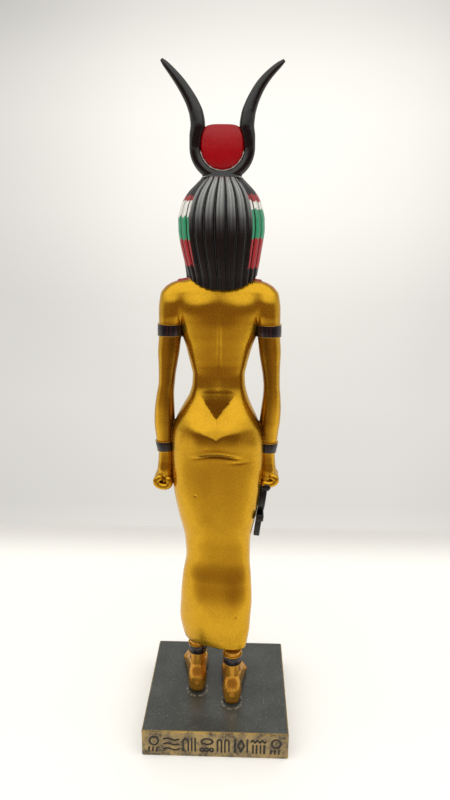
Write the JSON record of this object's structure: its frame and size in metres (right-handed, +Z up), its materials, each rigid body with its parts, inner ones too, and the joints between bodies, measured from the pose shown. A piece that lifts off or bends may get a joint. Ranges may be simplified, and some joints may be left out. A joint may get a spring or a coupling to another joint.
{
  "type": "isis statue",
  "caption": "Standing goddess statuette on a square plinth, with a striped fluted wig, a horned crown holding a sun disc, and an ankh in one hand.",
  "frame": {"origin": "middle of the plinth's underside", "axes": "+Z up, the figure looks along -Y, its left side is at +X"},
  "size_m": [0.0672, 0.0672, 0.3002],
  "materials": {
    "plinth": "matt",
    "figure": "satin gold paint",
    "horned_crown": "gloss",
    "sun_disc": "gloss",
    "ankh": "gloss"
  },
  "bodies": {
    "root": {"plinth": "plinth", "figure": "figure", "horned_crown": "horned_crown", "sun_disc": "sun_disc", "ankh": "ankh"}
  },
  "joints": []
}
